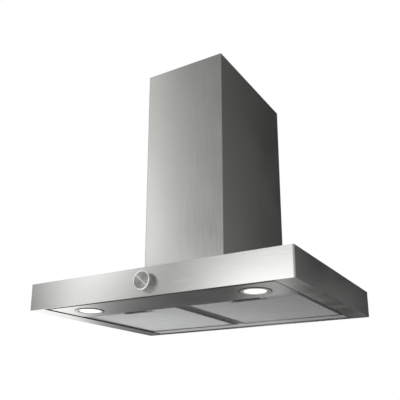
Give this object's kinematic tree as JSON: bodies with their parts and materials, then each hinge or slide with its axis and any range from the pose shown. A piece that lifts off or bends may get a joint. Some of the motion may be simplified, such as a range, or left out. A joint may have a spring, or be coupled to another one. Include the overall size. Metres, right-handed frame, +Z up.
{
  "type": "wall mount range hood",
  "caption": "Wall mount kitchen range hood: shallow box canopy with a knob, lamps and hinged grease filters under a square telescopic chimney that covers a ducted blower.",
  "frame": {"origin": "midway between the two wall screws of the hanging bracket, on the wall plane", "axes": "+Z up, +Y into the wall, +X to the right as seen from the front; the control faces -Y"},
  "size_m": [0.6, 0.459, 0.57],
  "materials": {
    "canopy_steel": "brushed stainless steel, grain along the width",
    "chimney_steel": "brushed stainless steel, grain upright",
    "zinc_steel": "galvanised sheet, dull",
    "screw_steel": "zinc plated steel",
    "filter_aluminium": "plain aluminium, satin",
    "lamp_metal": "bright pressed metal",
    "can_aluminium": "drawn can, plain",
    "lens_glass": "frosted glass",
    "latch_plastic": "grey moulded plastic",
    "blower_plastic": "black moulded plastic",
    "wheel_plastic": "dark grey moulded plastic",
    "case_plastic": "white flame resisting plastic",
    "motor_paint": "black baked paint",
    "knob_metal": "turned metal, satin",
    "knob_chrome": "polished chamfer"
  },
  "bodies": {
    "hood": {"canopy_shell": "canopy_steel", "light_panel": "canopy_steel", "rear_rail": "canopy_steel", "filter_divider": "canopy_steel", "side_rail_left": "canopy_steel", "side_rail_right": "canopy_steel", "lamp_bezel_left": "lamp_metal", "lamp_bezel_right": "lamp_metal", "lamp_lens_left": "lens_glass", "lamp_lens_right": "lens_glass", "lamp_can_left": "can_aluminium", "lamp_can_right": "can_aluminium", "control_box": "case_plastic", "lamp_driver": "case_plastic", "rotary_switch": "case_plastic", "switch_nut": "screw_steel", "blower_case": "zinc_steel", "wall_bracket": "zinc_steel", "scroll_left": "blower_plastic", "scroll_right": "blower_plastic", "motor": "motor_paint", "motor_carrier": "zinc_steel", "outlet_collar": "blower_plastic", "flap_pin_rod": "screw_steel", "terminal_box": "case_plastic", "terminal_lid": "case_plastic", "cable_gland": "case_plastic", "chimney_lower": "chimney_steel", "case_screws": "screw_steel", "collar_screws": "screw_steel", "chimney_screws": "screw_steel", "carrier_screws": "screw_steel"},
    "knob": {"control_knob": "knob_metal", "knob_ring": "knob_chrome", "knob_face": "knob_metal", "knob_shaft": "screw_steel"},
    "filter_left": {"filter_frame_left": "filter_aluminium", "filter_mesh_left": "filter_aluminium", "filter_core_left": "filter_aluminium", "latch_cup_left": "latch_plastic"},
    "filter_right": {"filter_frame_right": "filter_aluminium", "filter_mesh_right": "filter_aluminium", "filter_core_right": "filter_aluminium", "latch_cup_right": "latch_plastic"},
    "latch_left": {"filter_latch_left": "latch_plastic"},
    "latch_right": {"filter_latch_right": "latch_plastic"},
    "fan_wheel": {"impeller": "wheel_plastic", "motor_spindle": "screw_steel"},
    "flap_front": {"damper_flap_front": "wheel_plastic"},
    "flap_rear": {"damper_flap_rear": "wheel_plastic"},
    "chimney_top": {"chimney_upper": "chimney_steel", "chimney_bracket": "zinc_steel"}
  },
  "joints": [
    {"name": "knob_turn", "type": "hinge", "parent": "hood", "child": "knob", "pos_m": [0, -0.445, -0.2215], "axis": [0, 1, 0], "range_deg": [0, 135]},
    {"name": "fan_spin", "type": "hinge", "parent": "hood", "child": "fan_wheel", "pos_m": [0, -0.181, -0.0675], "axis": [1, 0, 0], "continuous": true},
    {"name": "flap_front_lift", "type": "hinge", "parent": "hood", "child": "flap_front", "pos_m": [0, -0.1, 0.0901], "axis": [-1, 0, 0], "range_deg": [0, 80]},
    {"name": "flap_rear_lift", "type": "hinge", "parent": "hood", "child": "flap_rear", "pos_m": [0, -0.1, 0.0901], "axis": [1, 0, 0], "range_deg": [0, 80]},
    {"name": "chimney_slide", "type": "slide", "parent": "hood", "child": "chimney_top", "axis": [0, 0, 1], "range_m": [0, 0.35]},
    {"name": "filter_left_tilt", "type": "hinge", "parent": "hood", "child": "filter_left", "pos_m": [-0.133, -0.0492, -0.2475], "axis": [1, 0, 0], "range_deg": [0, 60]},
    {"name": "latch_left_slide", "type": "slide", "parent": "filter_left", "child": "latch_left", "axis": [0, 1, 0], "range_m": [0, 0.007], "stiffness_N_per_m": 300, "springref_m": -0.004},
    {"name": "filter_right_tilt", "type": "hinge", "parent": "hood", "child": "filter_right", "pos_m": [0.133, -0.0492, -0.2475], "axis": [1, 0, 0], "range_deg": [0, 60]},
    {"name": "latch_right_slide", "type": "slide", "parent": "filter_right", "child": "latch_right", "axis": [0, 1, 0], "range_m": [0, 0.007], "stiffness_N_per_m": 300, "springref_m": -0.004}
  ]
}
